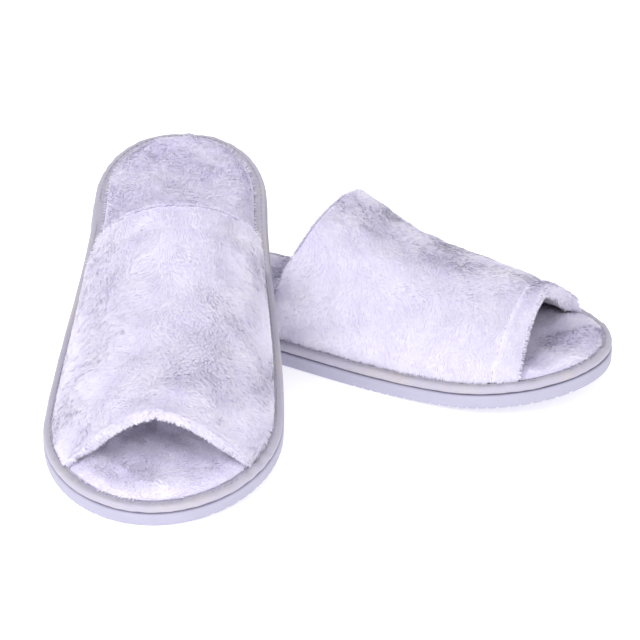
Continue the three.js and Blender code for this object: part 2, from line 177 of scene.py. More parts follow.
class SlipperPile(bpy.types.PropertyGroup):
    """The plush's standing fibres."""

    length: millimetres("Pile length", "Length of one tuft of pile", 2.5)
    width: millimetres("Tuft width", "Width of one tuft of pile at its root", 0.27)
    clump: millimetres("Clump spacing", "Distance between the middles of neighbouring clumps", 2.2)
    sink: millimetres("Ground depth", "How far the woven ground lies below the pile's tips", 1.2)
    upper_count: number("Upper tufts", "Tufts of pile in each of the two layers on an upper", 64000)
    insole_count: number("Insole tufts", "Tufts of pile on each insole", 64000)
    lining_count: number("Lining tufts", "Tufts of pile on each lining", 30000)


class SlipperCloth(bpy.types.PropertyGroup):
    """The soft shape of the sewn fabric."""

    swell: millimetres("Swell", "Height of the upper's broad soft waves", 0.8)
    dimple: millimetres("Dimple", "Height of the fabric's small dimples", 0.35)
    toe_groove: millimetres("Toe groove", "Depth of the groove along the right toe hem's stitches", 1.4)
    slack_groove: millimetres("Slack toe groove", "Depth of the same groove in the left slipper", 0.3)
    rear_groove: millimetres("Rear groove", "Depth of the groove along the rear hems' stitches", 0.3)
    pucker: millimetres("Tape pucker", "Height of the binding tape's small puckers", 0.16)
    thread: millimetres("Thread", "Diameter of the sewing thread", 0.5)
    stitch: millimetres("Stitch", "Length from one stitch to the next", 3.2)


class SlipperColours(bpy.types.PropertyGroup):
    """The colours of the materials."""

    plush: colour("Plush", "Coral fleece where the light falls on the pile's tips", "#F6F3FF")
    # Painted shade: the plush colour darkened for the shade that falls deep between the tufts, at the pile's
    # roots and on the ground.
    plush_root_painted_shade: colour("Plush root", "Coral fleece deep between the tufts", "#DED8F2")
    plush_shade: colour("Plush shade", "Coral fleece in its slightly darker patches", "#F0ECFD")
    tape: colour("Binding tape", "Grey woven binding tape", "#B3AFBF")
    tape_worn: colour("Binding tape, rubbed", "Binding tape where handling has yellowed it", "#C0B9B4")
    eva: colour("EVA", "White foam outsole", "#B0AEC3")
    thread: colour("Thread", "Sewing thread", "#B7B3C2")
    board: colour("Insole board", "Pressed fibre board", "#B9A888")
    sponge: colour("Sponge", "Cut polyurethane sponge", "#F0EAD2")
    floor: colour("Floor", "The pale studio floor", "#FAFAFA")


SETTINGS = (
    ("slipper_pile", SlipperPile),
    ("slipper_cloth", SlipperCloth),
    ("slipper_colours", SlipperColours),
)


# ---------- the sole's outline ----------


def sweep_at(y):
    return WAIST_SWEEP * (1 - (y / HALF_LENGTH) ** 2)


def spring_at(y):
    start = HALF_LENGTH - TOE_SPRING_LENGTH
    return TOE_SPRING * (np.maximum(0, y - start) / TOE_SPRING_LENGTH) ** 2


def rounded_end(reach, length, power):
    return (1 - np.clip(reach / length, 0, 1) ** power) ** (1 / power)


def half_width(y):
    """Half the sole's width at a distance y in front of its middle."""
    heel = rounded_end(HEEL_START - y, HEEL_ROUND_LENGTH, HEEL_ROUND_POWER)
    toe = rounded_end(y - TOE_START, TOE_ROUND_LENGTH, TOE_ROUND_POWER)
    return lerp(HEEL_WIDTH, FOREFOOT_WIDTH, smoothstep(y, HEEL_START, TOE_START)) / 2 * heel * toe


def edge_station(u):
    """How far forward the sole's edge is, for u from 0 at the heel tip to 1 at the toe tip."""
    into_heel = np.sin(math.pi / 2 * np.clip(1 - 3 * u, 0, 1)) ** (2 / HEEL_ROUND_POWER)
    into_toe = np.sin(math.pi / 2 * np.clip(3 * u - 2, 0, 1)) ** (2 / TOE_ROUND_POWER)
    between = lerp(HEEL_START, TOE_START, np.clip(3 * u - 1, 0, 1))
    return between - HEEL_ROUND_LENGTH * into_heel + TOE_ROUND_LENGTH * into_toe


def edge_line(u):
    y = edge_station(u)
    return np.stack([half_width(y), y], axis=-1)


def even_stations(count):
    """Values of u that stand evenly along the sole's edge, from the heel tip to the toe tip."""
    fine = np.linspace(0, 1, 6000)
    steps = np.linalg.norm(np.diff(edge_line(fine), axis=0), axis=1)
    travelled = np.concatenate([[0], np.cumsum(steps)])
    return np.interp(np.linspace(0, travelled[-1], count), travelled, fine)


def edge_point(u, inset):
    """Points of the right-hand edge, moved inwards by inset."""
    step = 0.0005
    tangent = unit(edge_line(np.minimum(1, u + step)) - edge_line(np.maximum(0, u - step)))
    inward = np.stack([-tangent[..., 1], tangent[..., 0]], axis=-1)
    return edge_line(u) + inward * np.asarray(inset)[..., None]


def round_the_sole(count, section):
    """Rings of a section that runs right round the sole; section(u) gives its insets and heights."""
    u = even_stations(count)
    insets, heights = section(u)
    plan = edge_point(u[:, None] + np.zeros_like(insets), insets)
    right = np.stack([np.maximum(plan[..., 0], 0), plan[..., 1], heights], axis=-1)
    left = right[-2:0:-1] * np.array([-1, 1, 1])
    return np.concatenate([right, left])


# ---------- the upper ----------


def upper_face(v, s):
    """The upper's outer face: v from the rear edge, 0, to the toe hem, 1, and s over the foot, -1 to 1."""
    run = lerp(REAR_ARCH_POWERS[0], TOE_ARCH_POWERS[0], v)
    rise = 1 / lerp(REAR_ARCH_POWERS[1], TOE_ARCH_POWERS[1], v)
    h = np.maximum(0, 1 - np.abs(s) ** run) ** rise
    side_y = TOE_SIDE_Y - (1 - v) * np.where(s > 0, LATERAL_LENGTH, MEDIAL_LENGTH)
    y = lerp(side_y, lerp(REAR_CROWN_Y, TOE_CROWN_Y, v), h)
    crown = lerp(REAR_CROWN_HEIGHT, TOE_CROWN_HEIGHT, v) - INSTEP_SAG * np.sin(math.pi * v)
    x = (half_width(y) - TAPE_INNER_INSET) * s + CROWN_SHIFT * (1 - v) * h
    return np.stack([x, y, lerp(UPPER_FOOT, crown, h)], axis=-1)


def arch_share(z):
    return smoothstep(z, UPPER_FOOT, UPPER_FOOT + SEAM_SQUEEZE_HEIGHT)


def upper_point(v, s, depth, lift=0.0):
    """Points at a depth below the outer face, square to it, raised again by lift."""
    step = 0.002
    vc = np.clip(v, step, 1 - step)
    sc = np.clip(s, step - 1, 1 - step)
    along = upper_face(vc + step, sc) - upper_face(vc - step, sc)
    across = upper_face(vc, sc + step) - upper_face(vc, sc - step)
    inward = unit(np.cross(along, across))
    points = upper_face(v, s)
    share = arch_share(points[..., 2])
    inward[..., 2] *= share
    inward = unit(inward)
    return points + inward * (depth * lerp(SEAM_SQUEEZE, 1, share) - lift)[..., None]


# ---------- the two slippers' places ----------


class Slipper:
    """One slipper of the pair: its body, its side and where it stands."""

    def __init__(self, name, side, yaw, pitch):
        self.name = name
        self.body = name + "_slipper"
        self.side = side
        self.seed = 11 if side < 0 else 47
        # How far forward the tape's two ends are, where one laps over the other.
        self.lap = (-82.0, -64.0) if side < 0 else (108.0, 122.0)
        # The patch where the pile is brushed up: its s and v on the upper, and how strongly.
        self.whirls = (0.4, 0.62) if side < 0 else (0.3, 0.6)
        self.whirl_strength = 1.5 if side < 0 else 0.5
        # How far the upper's rear crown has sunk, in millimetres.
        self.crown_drop = 0.3 if side < 0 else 1.8
        turn = Matrix.Rotation(math.radians(yaw), 3, "Z") @ Matrix.Rotation(math.radians(pitch), 3, "X")
        self.turn = np.array(turn)
        self.origin = np.zeros(3)
        low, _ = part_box(name + "_outsole")
        rim = edge_line(even_stations(400))
        both = np.concatenate([rim, rim * [-1, 1]])
        corners = [np.column_stack([both, np.full(len(both), z)]) for z in (0.0, OUTSOLE_THICKNESS)]
        self.origin = np.array(low) - self.place(np.concatenate(corners)).min(axis=0)

    def toe_groove(self, cloth):
        return cloth.slack_groove if self.side < 0 else cloth.toe_groove

    def shape(self, points):
        """Points of the straight pattern with the sole's sweep and toe spring, mirrored for the left foot."""
        x, y, z = np.moveaxis(points, -1, 0)
        return np.stack([self.side * (x + sweep_at(y)), y, z + spring_at(y)], axis=-1)

    def place(self, points):
        """Points of the straight pattern, in millimetres, where they are in the pair, in metres."""
        return self.shape(points) @ self.turn.T * MM + self.origin


SLIPPERS = (
    Slipper("left", -1, 180, -LEAN_ANGLE),
    Slipper("right", 1, 180 + SPLAY_ANGLE, 0),
)


# ---------- meshes ----------


def piece_of(name, vertices, faces, smooth=True):
    mesh = bpy.data.meshes.new(name)
    mesh.from_pydata(vertices.reshape(-1, 3).tolist(), [], faces)
    mesh.validate()
    mesh.polygons.foreach_set("use_smooth", np.full(len(mesh.polygons), smooth))
    piece = bpy.data.objects.new(name, mesh)
    bpy.context.scene.collection.objects.link(piece)
    return piece


def loop_faces(rows, columns, close_rows):
    """Quads that join a ring of points to the next, for rings of `columns` points."""
    i = np.arange(rows if close_rows else rows - 1)[:, None]
    j = np.arange(columns)[None, :]
    after, beside = (i + 1) % rows, (j + 1) % columns
    quads = [i * columns + j, after * columns + j, after * columns + beside, i * columns + beside]
    return np.stack(np.broadcast_arrays(*quads), axis=-1).reshape(-1, 4).tolist()


def body_of_rings(name, slipper, rings, closed=False):
    """A closed solid through rings of points: joined end to end, or capped at both ends."""
    rows, columns = rings.shape[:2]
    faces = loop_faces(rows, columns, closed)
    if not closed:
        faces.append(list(range(columns)))
        faces.append(list(range(rows * columns - 1, (rows - 1) * columns - 1, -1)))
    piece = piece_of(name, slipper.place(rings), faces)
    shape = bmesh.new()
    shape.from_mesh(piece.data)
    bmesh.ops.remove_doubles(shape, verts=shape.verts, dist=0.002 * MM)
    bmesh.ops.recalc_face_normals(shape, faces=shape.faces)
    shape.to_mesh(piece.data)
    shape.free()
    return piece


def give(piece, slipper, material, replaced=()):
    """Hands a finished piece to its slipper: what it rides on, stands for and is made of."""
    piece.data.materials.clear()
    piece.data.materials.append(material)
    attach(piece, slipper.body)
    if replaced:
        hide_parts(*[f"{slipper.name}_{node}" for node in replaced])
    return piece


# ---------- materials ----------


def add(tree, kind, inputs=None, **settings):
    """Adds a node with its settings; an input is linked if it is given a socket, and set otherwise."""
    made = tree.nodes.new(kind)
    for key, value in settings.items():
        setattr(made, key, value)
    for key, value in (inputs or {}).items():
        if isinstance(value, bpy.types.NodeSocket):
            tree.links.new(value, made.inputs[key])
        else:
            made.inputs[key].default_value = value
    return made


def material(name, build):
    """The named material, made by build(tree, object coordinates), which returns the shader."""
    found = bpy.data.materials.get(name)
    if found:
        return found
    made = bpy.data.materials.new(name)
    made.use_nodes = True
    tree = made.node_tree
    tree.nodes.clear()
    place = add(tree, "ShaderNodeTexCoord").outputs["Object"]
    shader = build(tree, place)
    add(tree, "ShaderNodeOutputMaterial", {"Surface": shader.outputs[0]})
    return made


def noise(tree, place, size_mm, detail=2.0, roughness=0.5):
    """Noise whose blotches are about size_mm across."""
    inputs = {"Vector": place, "Scale": 1 / (size_mm * MM), "Detail": detail, "Roughness": roughness}
    return add(tree, "ShaderNodeTexNoise", inputs).outputs["Fac"]


def ramp(tree, value, low, high):
    """The value stretched so that low becomes 0 and high becomes 1."""
    inputs = {"Value": value, "From Min": low, "From Max": high}
    return add(tree, "ShaderNodeMapRange", inputs).outputs["Result"]


def spread(tree, value, low, high):
    """The value from 0 to 1 laid out from low to high."""
    return add(tree, "ShaderNodeMapRange", {"Value": value, "To Min": low, "To Max": high}).outputs["Result"]


def cells(tree, place, size_mm):
    """Distance from the middle of cells about size_mm across."""
    inputs = {"Vector": place, "Scale": 1 / (size_mm * MM)}
    return add(tree, "ShaderNodeTexVoronoi", inputs).outputs["Distance"]


def mixed(tree, factor, first, second):
    made = add(tree, "ShaderNodeMix", data_type="RGBA")
    for socket, value in ((made.inputs[0], factor), (made.inputs[6], first), (made.inputs[7], second)):
        if isinstance(value, bpy.types.NodeSocket):
            tree.links.new(value, socket)
        else:
            socket.default_value = value
    return made.outputs[2]


def bumped(tree, height, depth_mm, normal=None):
    inputs = {"Height": height, "Distance": depth_mm * MM, "Strength": 1.0}
    if normal is not None:
        inputs["Normal"] = normal
    return add(tree, "ShaderNodeBump", inputs).outputs["Normal"]


def coral_fleece_ground():
    """Knitted polyester ground under the pile: matt, faintly mottled, with loops just under a millimetre, its
    colour darkened with painted shade where it lies between the tufts.
    """
    colours = bpy.context.scene.slipper_colours

    def build(tree, place):
        patches = ramp(tree, noise(tree, place, 16, 3), 0.35, 0.65)
        # Painted shade: the ground is mixed in patches towards the darker root colour, for the shade deep
        # between the tufts.
        tone = mixed(tree, patches, colours.plush_shade, colours.plush_root_painted_shade)
        normal = bumped(tree, noise(tree, place, 0.9, 3, 0.6), 0.5)
        return add(tree, "ShaderNodeBsdfPrincipled", {
            "Base Color": tone, "Roughness": 0.95, "IOR": 1.5, "Specular IOR Level": 0.2,
            "Sheen Weight": 0.3, "Sheen Roughness": 0.5, "Normal": normal})

    return material("coral_fleece_ground", build)


def coral_fleece_pile():
    """Brushed polyester pile: soft filaments that scatter light, whiter at the tips than at the roots, where
    painted shade darkens them.
    """
    colours = bpy.context.scene.slipper_colours

    def build(tree, place):
        patches = ramp(tree, noise(tree, place, 14, 3), 0.38, 0.62)
        tip_tone = mixed(tree, patches, colours.plush, colours.plush_shade)
        tip = add(tree, "ShaderNodeAttribute", attribute_name="tip").outputs["Fac"]
        # Painted shade: each tuft darkens from its tip down to its root, as if shaded deep among the other
        # tufts.
        tone = mixed(tree, ramp(tree, tip, -0.4, 0.6), colours.plush_root_painted_shade, tip_tone)
        return add(tree, "ShaderNodeBsdfPrincipled", {
            "Base Color": tone, "Roughness": 0.85, "IOR": 1.5, "Specular IOR Level": 0.25,
            "Sheen Weight": 0.25, "Sheen Roughness": 0.4})

    return material("coral_fleece_pile", build)


def woven_binding_tape():
    """Folded polyester grosgrain tape: fine weave, a dull satin face and faint yellowing from handling."""
    colours = bpy.context.scene.slipper_colours

    def build(tree, place):
        rubbed = ramp(tree, noise(tree, place, 22, 3), 0.52, 0.72)
        tone = mixed(tree, rubbed, colours.tape, colours.tape_worn)
        mottle = ramp(tree, noise(tree, place, 2.2, 3, 0.6), 0.2, 0.8)
        tone = mixed(tree, mottle, tone, colours.tape)
        # Threads 0.45 mm apart: drawn a little coarser than the 0.3 mm of real tape, so that they show.
        weave = cells(tree, place, 0.45)
        normal = bumped(tree, weave, 0.06, bumped(tree, noise(tree, place, 3.0, 2), 0.25))
        rough = spread(tree, mottle, 0.55, 0.72)
        return add(tree, "ShaderNodeBsdfPrincipled", {
            "Base Color": tone, "Roughness": rough, "IOR": 1.5, "Sheen Weight": 0.15, "Normal": normal})

    return material("woven_binding_tape", build)


def moulded_eva():
    """Closed-cell EVA foam cut from a pressed sheet: smooth, faintly waxy, with a fine grain of cells."""
    colours = bpy.context.scene.slipper_colours

    def build(tree, place):
        grain = noise(tree, place, 0.8, 4, 0.65)
        dusty = ramp(tree, noise(tree, place, 11, 4), 0.3, 0.7)
        darker = tuple(c * 0.93 for c in colours.eva[:3]) + (1.0,)
        tone = mixed(tree, dusty, colours.eva, darker)
        rough = spread(tree, grain, 0.42, 0.6)
        return add(tree, "ShaderNodeBsdfPrincipled", {
            "Base Color": tone, "Roughness": rough, "IOR": 1.49, "Normal": bumped(tree, grain, 0.08)})

    return material("moulded_eva", build)


def spun_polyester_thread():
    """Two-ply spun thread: matt, with the slant of its twist."""
    colours = bpy.context.scene.slipper_colours

    def build(tree, place):
        plies = noise(tree, place, 0.35, 2)
        darker = tuple(c * 0.8 for c in colours.thread[:3]) + (1.0,)
        tone = mixed(tree, ramp(tree, plies, 0.3, 0.7), colours.thread, darker)
        return add(tree, "ShaderNodeBsdfPrincipled", {
            "Base Color": tone, "Roughness": 0.7, "IOR": 1.5, "Normal": bumped(tree, plies, 0.12)})

    return material("spun_polyester_thread", build)


def pressed_fibre_board():
    """Cellulose fibre board, pressed flat: matt and tan, with small brown flecks."""
    colours = bpy.context.scene.slipper_colours

    def build(tree, place):
        flecks = ramp(tree, noise(tree, place, 0.7, 5, 0.7), 0.3, 0.75)
        darker = tuple(c * 0.6 for c in colours.board[:3]) + (1.0,)
        tone = mixed(tree, flecks, darker, colours.board)
        return add(tree, "ShaderNodeBsdfPrincipled", {
            "Base Color": tone, "Roughness": 0.9, "IOR": 1.5, "Normal": bumped(tree, flecks, 0.1)})

    return material("pressed_fibre_board", build)


def cut_sponge():
    """Open-cell polyurethane sponge: cut cells about 0.6 mm across, matt and cream, with painted shade in the
    middle of each cell.
    """
    colours = bpy.context.scene.slipper_colours

    def build(tree, place):
        pores = cells(tree, place, 0.6)
        # Painted shade: the middle of each cell is darkened, for the shade down in the pore.
        darker = tuple(c * 0.65 for c in colours.sponge[:3]) + (1.0,)
        tone = mixed(tree, ramp(tree, pores, 0.1, 0.6), darker, colours.sponge)
        return add(tree, "ShaderNodeBsdfPrincipled", {
            "Base Color": tone, "Roughness": 0.95, "IOR": 1.5, "Normal": bumped(tree, pores, 0.3)})

    return material("cut_sponge", build)


def studio_floor():
    """White painted board, matt, lit a little from within so that it stays an even white."""
    colours = bpy.context.scene.slipper_colours

    def build(tree, place):
        speckle = noise(tree, place, 40, 2)
        darker = tuple(c * 0.99 for c in colours.floor[:3]) + (1.0,)
        tone = mixed(tree, speckle, colours.floor, darker)
        return add(tree, "ShaderNodeBsdfPrincipled", {
            "Base Color": tone, "Roughness": 0.8, "IOR": 1.5, "Specular IOR Level": 0.1,
            "Emission Color": (1.0, 1.0, 1.0, 1.0), "Emission Strength": 0.42})

    return material("studio_floor", build)


# ---------- outsole ----------


def tread_height(y):
    """Height of the outsole's underside: flat lands and rounded grooves in two fields."""
    fields = (
        (HALF_LENGTH - TREAD_EDGE_MARGIN - FOREFOOT_TREAD_LENGTH, FOREFOOT_TREAD_LENGTH),
        (TREAD_EDGE_MARGIN - HALF_LENGTH, HEEL_TREAD_LENGTH),
    )
    height = np.zeros_like(y)
    for start, length in fields:
        count = math.floor(length / TREAD_PITCH) + 1
        nearest = start + TREAD_PITCH * np.clip(np.round((y - start) / TREAD_PITCH), 0, count - 1)
        away = np.abs(y - nearest) / (TREAD_GROOVE_WIDTH / 2)
        height = np.maximum(height, TREAD_DEPTH * (1 - smoothstep(away, 0.1, 1.0)))
    return height


def make_outsole(slipper):
    """The foam outsole: a plain wall with softened edges over a ribbed underside."""
    section = np.array([
        (1.2, 0.0), (0.6, 0.06), (0.22, 0.3), (0.04, 0.75), (0.0, 1.4), (0.0, 3.4), (0.0, 5.6), (0.06, 6.3),
        (0.25, 6.7), (0.6, 6.87), (1.2, OUTSOLE_THICKNESS)])
    straight = np.arange(-HALF_LENGTH, HALF_LENGTH, TREAD_PITCH / 10)
    fine = np.linspace(0, 1, 8000)
    by_rib = np.interp(straight, edge_station(fine), fine)
    tips = [0.0001, 0.0004, 0.9996, 0.9999]
    u = np.unique(np.round(np.concatenate([by_rib, even_stations(240), tips]), 6))
    u = u[(u > 0.00005) & (u < 0.99995)]
    plan = edge_point(u[:, None] + np.zeros(len(section)), section[:, 0] + np.zeros((len(u), 1)))
    heights = section[:, 1] + np.zeros((len(u), 1))
    near_ground = 1 - smoothstep(heights, 0.0, 2.4)
    heights = heights + tread_height(plan[..., 1]) * near_ground
    right = np.stack([np.maximum(plan[..., 0], 0.0), plan[..., 1], heights], axis=-1)
    left = right[:, ::-1] * np.array([-1, 1, 1])
    rings = np.concatenate([right, left], axis=1)
    piece = body_of_rings(slipper.name + "_eva_outsole", slipper, rings)
    return give(piece, slipper, moulded_eva(), ["outsole"])


# ---------- binding ----------


# The fold's inner edge runs this far under the insole plush.
FOLD_REACH = 7.8


def bead_section():
    """Outer face of the binding from its bottom leg round the bead to the top fold's inner edge."""
    middle = TAPE_BOTTOM + TAPE_HEIGHT / 2
    around = np.linspace(-math.pi / 2, math.pi / 2, 17)
    wall = np.stack([TAPE_SETBACK + 1.3 - 1.75 * np.cos(around) ** 0.8,
                     middle + (TAPE_HEIGHT / 2) * np.sin(around)], axis=-1)
    fold = np.array([(2.9, 0.04), (3.7, 0.14), (4.6, 0.3), (5.6, 0.5), (FOLD_REACH, 0.75)])
    fold = fold * [1, -1] + [0, TAPE_TOP]
    leg = np.array([(TAPE_INNER_INSET, TAPE_BOTTOM)])
    return np.concatenate([leg, wall, fold])


def tape_rings(count, outer, inner, cloth, slipper):
    """The section swept round the sole, with small puckers that grow where the tape turns tightly."""
    outline = np.concatenate([outer, inner])
    rings = round_the_sole(count, lambda u: (
        outline[:, 0] + np.zeros((len(u), 1)), outline[:, 1] + np.zeros((len(u), 1))))
    loop = rings[:, 0]
    ends = smoothstep(np.abs(loop[:, 1]), 60.0, 110.0)
    share = (0.5 + 0.9 * ends) * cloth.pucker / MM
    wave = ripple(loop, 5.5, slipper.seed) * share
    wave += ripple(loop, 16.0, slipper.seed + 1) * cloth.pucker / MM
    # The tape's free end laps over its start, with a slanted edge.
    start, end = slipper.lap
    slant = rings[..., 1] + 0.8 * (rings[..., 2] - TAPE_TOP)
    lapped = smoothstep(slant, start, start + 1.6) * (1 - smoothstep(slant, end - 1.6, end))
    lapped = lapped * (rings[..., 0] < 0)
    middle = rings.mean(axis=1, keepdims=True)
    rings = rings + (rings - middle) * 0.17 * lapped[..., None]
    number_along = np.arange(len(outline))
    across = np.where(number_along < len(outer), number_along / len(outer), 0)
    rings[..., 2] += wave[:, None] * np.sin(math.pi * across)
    return rings


def make_binding(slipper, cloth):
    """The folded tape round the insole board's edge."""
    outer = bead_section()
    t = TAPE_THICKNESS
    inner = np.array([
        (FOLD_REACH, TAPE_TOP - 0.75 - t), (TAPE_INNER_INSET, TAPE_TOP - 0.3 - t),
        (TAPE_SETBACK + t, TAPE_TOP - t),
        (TAPE_SETBACK + t, TAPE_BOTTOM + t), (TAPE_INNER_INSET, TAPE_BOTTOM + t)])
    rings = tape_rings(620, outer, inner, cloth, slipper)
    piece = body_of_rings(slipper.name + "_binding_fold", slipper, rings, closed=True)
    give(piece, slipper, woven_binding_tape(), ["binding_tape"])
    return piece


# ---------- stitches ----------


def stitch_row(name, slipper, points, normals, pitch, diameter):
    """A row of short stitches along a line of points, each a little arched cord sunk at both ends."""
    steps = np.linalg.norm(np.diff(points, axis=0), axis=1)
    travelled = np.concatenate([[0], np.cumsum(steps)])
    centres = np.arange(pitch / 2, travelled[-1], pitch)
    at = np.stack([np.interp(centres, travelled, points[:, k]) for k in range(3)], axis=-1)
    before = np.stack([np.interp(centres - pitch / 4, travelled, points[:, k]) for k in range(3)], axis=-1)
    after = np.stack([np.interp(centres + pitch / 4, travelled, points[:, k]) for k in range(3)], axis=-1)
    up = unit(np.stack([np.interp(centres, travelled, normals[:, k]) for k in range(3)], axis=-1))
    along = unit(after - before)
    beside = np.cross(up, along)
    sides, rows = 8, 9
    t = np.linspace(-1, 1, rows)
    girth = np.sqrt(np.clip(1 - np.abs(t) ** 3, 0, 1)) * diameter / 2 + 0.01
    a = np.linspace(0, 2 * math.pi, sides, endpoint=False)
    length = (0.42 * pitch * t)[:, None] + 0 * a
    arch = (-0.5 * diameter * t * t)[:, None]
    local = np.stack([length, girth[:, None] * np.cos(a), arch + girth[:, None] * np.sin(a)], axis=-1)
    rings = (at[:, None, None] + local[None, ..., :1] * along[:, None, None]
             + local[None, ..., 1:2] * beside[:, None, None] + local[None, ..., 2:3] * up[:, None, None])
    faces = []
    for n in range(len(centres)):
        start = n * rows * sides
        faces += [[start + k for k in face] for face in loop_faces(rows, sides, False)]
        faces.append([start + k for k in range(sides)])
        faces.append([start + rows * sides - 1 - k for k in range(sides)])
    return piece_of(name, slipper.place(rings), faces)


def make_stitches(slipper, cloth):
    """The rows of stitches along the binding and through both hems."""
    pitch, diameter = cloth.stitch / MM, cloth.thread / MM
    inset = TAPE_INNER_INSET - TAPE_STITCH_MARGIN

    def path(u):
        return np.full((len(u), 1), inset), np.full((len(u), 1), TAPE_TOP + 0.1)

    line = round_the_sole(500, path)[:, 0]
    upright = np.tile([0.0, 0.0, 1.0], (len(line), 1))
    row = stitch_row(slipper.name + "_binding_stitches", slipper, line, upright, pitch, diameter)
    give(row, slipper, spun_polyester_thread(), ["binding_stitch"])
    share = HEM_STITCH_DISTANCE / CROWN_LENGTH
    pile = bpy.context.scene.slipper_pile
    for hem, v in (("rear", share), ("toe", 1 - share)):
        s = np.sin(math.pi / 2 * np.linspace(-0.99, 0.99, 400))
        relief = soft_relief(slipper, cloth, np.full_like(s, v), s)
        line = upper_point(np.full_like(s, v), s, np.full_like(s, pile.sink / MM + 0.15), relief)
        normals = unit(upper_point(np.full_like(s, v), s, np.full_like(s, -2.0)) - line)
        row = stitch_row(f"{slipper.name}_{hem}_hem_stitches", slipper, line, normals, pitch, diameter)
        give(row, slipper, spun_polyester_thread(), [hem + "_hem_stitch"])


# ---------- insole ----------


# Where the insole plush stops, in from the sole's edge.
INSOLE_BESIDE_UPPER = 10.5
INSOLE_AT_TOE = 5.2
INSOLE_AT_HEEL = 6.8
SPONGE_MARGIN = 2.4


def plush_inset(y, length):
    """How far the insole plush stands in from the sole's edge, beside an upper of this length."""
    rear_end = TOE_SIDE_Y - length - 0.5
    toe_end = TOE_SIDE_Y + FIT_GAP
    behind = 1 - smoothstep(y, rear_end - 3.5, rear_end)
    ahead = smoothstep(y, toe_end, toe_end + 5.0)
    at_end = lerp(INSOLE_AT_TOE, INSOLE_AT_HEEL, behind)
    return lerp(INSOLE_BESIDE_UPPER, at_end, np.maximum(behind, ahead))


def insole_rings(slipper, pile, cloth):
    """Rings across the insole cover: flat below, rounded edges and a softly crowned, wavy top."""
    u = even_stations(300)
    u = u[(u > 0.002) & (u < 0.998)]
    outer = edge_point(u, plush_inset(edge_station(u), LATERAL_LENGTH))
    inner = edge_point(u, plush_inset(edge_station(u), MEDIAL_LENGTH))
    right, left = np.maximum(outer[:, 0], 0.3), np.maximum(inner[:, 0], 0.3)
    y = (outer[:, 1] + inner[:, 1]) / 2
    top = INSOLE_BOTTOM + INSOLE_PLUSH_THICKNESS - pile.sink / MM
    foot = TAPE_TOP - 0.5
    edge = np.linspace(1, 0.9, 9)[:-1]
    across = np.concatenate([edge, np.linspace(0.9, -0.9, 60), -edge[::-1]])
    x = np.where(across > 0, across * right[:, None], across * left[:, None])
    from_side = (1 - np.abs(across)) * np.where(across > 0, right[:, None], left[:, None])
    from_end = (HALF_LENGTH - 5.6 - np.abs(y))[:, None] + 0 * across
    from_edge = np.minimum(from_side, np.maximum(from_end, 0))
    shoulder = 1 - (1 - np.clip(from_edge / 9.0, 0, 1)) ** 2.2
    heights = lerp(foot + 1.0, top + INSOLE_CROWN * (1 - across**2), shoulder)
    surface = np.stack([x, y[:, None] + 0 * x, heights], axis=-1)
    surface[..., 2] += ripple(surface[..., :2], 17, slipper.seed + 5) * cloth.dimple / MM * shoulder
    bottom = np.stack([x[:, [-1, 0]], y[:, None] + np.zeros((1, 2)), np.full((len(y), 2), foot)], axis=-1)
    return surface, np.concatenate([surface, bottom], axis=1)


def make_sponge(slipper):
    """The sponge under the insole plush, cut a little smaller than it."""
    u = even_stations(200)
    u = u[(u > 0.004) & (u < 0.996)]
    outer = edge_point(u, plush_inset(edge_station(u), LATERAL_LENGTH) + SPONGE_MARGIN)
    inner = edge_point(u, plush_inset(edge_station(u), MEDIAL_LENGTH) + SPONGE_MARGIN)
    right, left = np.maximum(outer[:, 0], 0.3), -np.maximum(inner[:, 0], 0.3)
    y = (outer[:, 1] + inner[:, 1]) / 2
    x = np.stack([right, right, left, left], axis=-1)
    z = np.array([SPONGE_BOTTOM, SPONGE_TOP, SPONGE_TOP, SPONGE_BOTTOM]) + 0 * x
    rings = np.stack([x, y[:, None] + 0 * x, z], axis=-1)
    piece = body_of_rings(slipper.name + "_insole_sponge", slipper, rings)
    return give(piece, slipper, cut_sponge(), ["insole_foam"])


def make_insole(slipper, pile, cloth):
    """The plush insole cover."""
    _, rings = insole_rings(slipper, pile, cloth)
    piece = body_of_rings(slipper.name + "_insole_plush", slipper, rings)
    give(piece, slipper, coral_fleece_ground(), ["insole_cover"])
    return piece


# ---------- upper ----------


# No dent in the plush reaches down to the sponge.
DEEPEST_DENT = 1.45
# How far a turned-in hem's rounded lip stands out past its edge.
LIP_BULGE = 0.9


def soft_relief(slipper, cloth, v, s):
    """Height of the sewn upper above its pattern, in millimetres: waves, dimples and hem grooves."""
    face = upper_face(v, s)
    settled = smoothstep(1 - np.abs(s), 0.0, 0.12)
    waves = ripple(face, 46, slipper.seed) * cloth.swell / MM
    waves += ripple(face, 15, slipper.seed + 1) * cloth.dimple / MM
    from_toe = (1 - v) * CROWN_LENGTH - HEM_STITCH_DISTANCE
    from_rear = v * CROWN_LENGTH - HEM_STITCH_DISTANCE
    toe_groove = np.exp(-((from_toe / 2.8) ** 2)) * slipper.toe_groove(cloth) / MM
    rear_groove = np.exp(-((from_rear / 2.4) ** 2)) * cloth.rear_groove / MM
    drop = slipper.crown_drop * (1 - smoothstep(v, 0.1, 0.4)) * np.exp(-((s / 0.55) ** 2))
    return np.maximum((waves - toe_groove - rear_groove - drop) * settled, -DEEPEST_DENT)


def arch_places(count):
    """Values of s that stand closer together down the sides, where the arch turns steep."""
    return np.sin(math.pi / 2 * np.linspace(-1, 1, count))


def lip(count):
    """A hem's rounded lip, from the outer face to the inner: how far it stands out and its depth."""
    around = np.linspace(-math.pi / 2, math.pi / 2, count)
    out = LIP_BULGE * np.cos(around) / CROWN_LENGTH
    return out, UPPER_DEPTH / 2 * (1 + np.sin(around))


